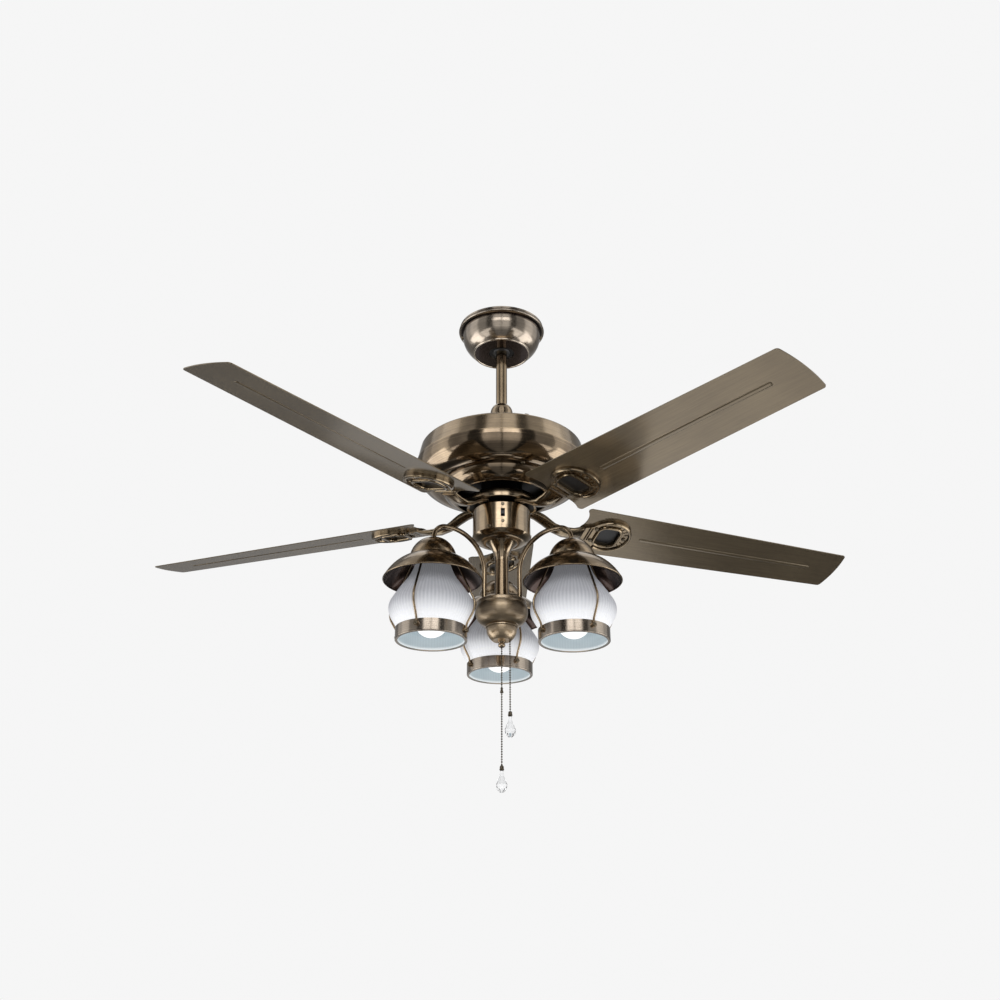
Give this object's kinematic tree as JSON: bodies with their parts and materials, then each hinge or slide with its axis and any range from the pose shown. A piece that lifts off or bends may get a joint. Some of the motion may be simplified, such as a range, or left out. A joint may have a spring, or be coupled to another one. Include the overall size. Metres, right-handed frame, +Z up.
{
  "type": "ceiling fan with light",
  "caption": "Ceiling fan in antique bronze with sheet blades on scrolled irons and a light kit of hooded lanterns with frosted glass and pull chains",
  "frame": {"origin": "on the ceiling, in the middle of the hanger bracket's top face, over the downrod", "axes": "+Z up, -Y towards the front where the reverse switch is, +X to the right seen from the front"},
  "size_m": [1.2741, 1.2185, 0.8495],
  "materials": {
    "bronze_shell": "spun steel with a brushed antique bronze plating",
    "bronze_cast": "polished antique bronze plating",
    "bronze_blade": "satin bronze on sheet steel",
    "bronze_wire": "dark bronze plated wire and screws",
    "plain_steel": "plain steel",
    "black_zinc": "black die casting",
    "copper_wire": "enamelled copper",
    "black_plastic": "moulded black plastic",
    "white_plastic": "moulded white plastic",
    "frosted_glass": "frosted ribbed glass",
    "bulb_white": "opal lamp bulb",
    "clear_drop": "clear pull on a small metal cap"
  },
  "bodies": {
    "ceiling_mount": {"canopy": "bronze_shell", "canopy_screws": "bronze_wire", "hanger_bracket": "plain_steel"},
    "hanging_frame": {"hanger_ball": "black_plastic", "rod_pins": "plain_steel", "downrod": "bronze_shell", "coupling_cover": "bronze_shell", "motor_shaft": "plain_steel", "stator_core": "plain_steel", "stator_windings": "copper_wire", "upper_housing": "bronze_shell", "lower_housing": "bronze_shell", "lower_dish": "bronze_shell", "housing_screws": "bronze_wire", "bearing_inner_sets": "plain_steel", "switch_plate": "plain_steel", "switch_housing": "bronze_shell", "reverse_switch_body": "black_plastic", "capacitor": "black_plastic", "fitter_cap": "bronze_shell", "center_post": "bronze_shell", "arm_bowl": "bronze_shell", "finial": "bronze_shell", "pull_switches": "black_plastic", "arm_1": "bronze_shell", "hood_1": "bronze_shell", "glass_shade_1": "frosted_glass", "shade_ring_1": "bronze_shell", "arm_2": "bronze_shell", "hood_2": "bronze_shell", "glass_shade_2": "frosted_glass", "shade_ring_2": "bronze_shell", "arm_3": "bronze_shell", "hood_3": "bronze_shell", "glass_shade_3": "frosted_glass", "shade_ring_3": "bronze_shell", "lampholders": "white_plastic", "bulbs": "bulb_white", "guard_wires": "bronze_wire", "guard_screws": "bronze_wire"},
    "rotor": {"bearing_outer_rings": "plain_steel", "rotor_shell": "plain_steel", "flywheel": "black_zinc", "hub_ring": "bronze_shell", "blade_iron_1": "bronze_cast", "blade_iron_2": "bronze_cast", "blade_iron_3": "bronze_cast", "blade_iron_4": "bronze_cast", "blade_iron_5": "bronze_cast", "blade_1": "bronze_blade", "blade_2": "bronze_blade", "blade_3": "bronze_blade", "blade_4": "bronze_blade", "blade_5": "bronze_blade", "blade_screws": "bronze_wire"},
    "reverse_slider": {"reverse_switch_knob": "black_plastic"},
    "fan_pull": {"fan_chain": "bronze_wire", "fan_pull_knob": "clear_drop"},
    "light_pull": {"light_chain": "bronze_wire", "light_pull_knob": "clear_drop"}
  },
  "joints": [
    {"name": "ball_swing", "type": "hinge", "parent": "ceiling_mount", "child": "hanging_frame", "pos_m": [0, 0, -0.036], "axis": [1, 0, 0], "range_deg": [-8, 8]},
    {"name": "fan_spin", "type": "hinge", "parent": "hanging_frame", "child": "rotor", "pos_m": [0, 0, -0.285], "axis": [0, 0, 1], "continuous": true},
    {"name": "reverse_slide", "type": "slide", "parent": "hanging_frame", "child": "reverse_slider", "axis": [0, 0, 1], "range_m": [-0.0035, 0.0035]},
    {"name": "fan_pull_slide", "type": "slide", "parent": "hanging_frame", "child": "fan_pull", "axis": [0, 0, -1], "range_m": [0, 0.012], "stiffness_N_per_m": 200, "springref_m": -0.005},
    {"name": "light_pull_slide", "type": "slide", "parent": "hanging_frame", "child": "light_pull", "axis": [0, 0, -1], "range_m": [0, 0.012], "stiffness_N_per_m": 200, "springref_m": -0.005}
  ]
}
